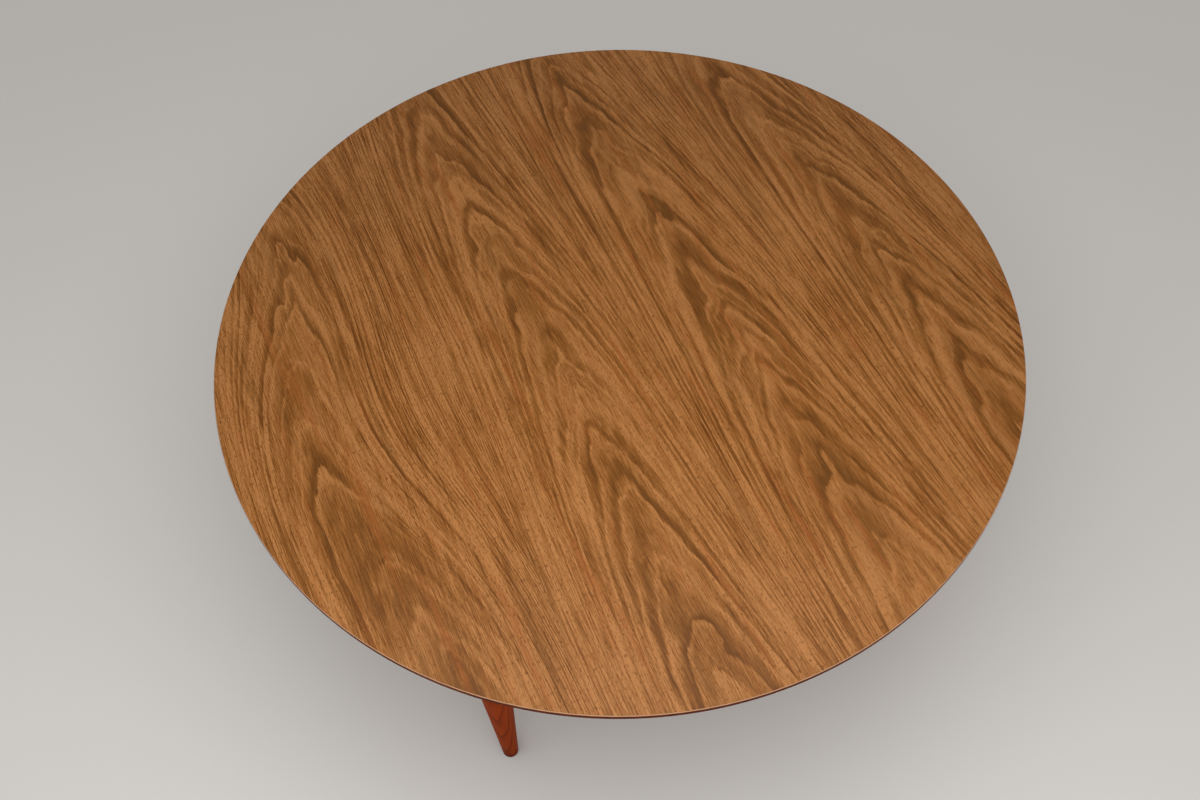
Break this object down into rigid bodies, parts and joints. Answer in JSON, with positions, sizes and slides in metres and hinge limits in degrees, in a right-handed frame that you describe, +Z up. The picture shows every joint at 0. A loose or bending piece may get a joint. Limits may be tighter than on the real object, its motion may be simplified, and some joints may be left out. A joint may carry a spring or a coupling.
{
  "type": "coffee table",
  "caption": "Low round coffee table: wood-pattern laminate top with a thin edge, bevelled underneath, on upright turned legs that taper to small feet near the rim.",
  "frame": {"origin": "on the floor under the middle of the round top", "axes": "+Z up; -Y towards the table's front, with the legs on the diagonals between +X, +Y, -X and -Y; the top's wood figure runs along Y"},
  "size_m": [0.9144, 0.9144, 0.4064],
  "materials": {
    "walnut_laminate": "satin decorative laminate with a printed walnut figure, lighter where its rim is filed",
    "core_board": "raw board",
    "backing_sheet": "plain dark brown balancing sheet",
    "lipping_wood": "dark red-brown stain under satin lacquer",
    "block_wood": "clear-finished beech",
    "leg_wood": "dark red-brown stain under satin lacquer",
    "zinc_steel": "bright zinc plate",
    "pad_rubber": "black rubber"
  },
  "bodies": {
    "root": {"top_laminate": "walnut_laminate", "top_core": "core_board", "top_backer": "backing_sheet", "edge_lipping_back_right": "lipping_wood", "edge_lipping_back_left": "lipping_wood", "edge_lipping_front_left": "lipping_wood", "edge_lipping_front_right": "lipping_wood", "leg_block_back_right": "block_wood", "leg_block_back_left": "block_wood", "leg_block_front_left": "block_wood", "leg_block_front_right": "block_wood", "leg_back_right": "leg_wood", "leg_back_left": "leg_wood", "leg_front_left": "leg_wood", "leg_front_right": "leg_wood", "hanger_bolt_back_right": "zinc_steel", "hanger_bolt_back_left": "zinc_steel", "hanger_bolt_front_left": "zinc_steel", "hanger_bolt_front_right": "zinc_steel", "tee_nuts": "zinc_steel", "foot_pads": "pad_rubber"}
  },
  "joints": []
}
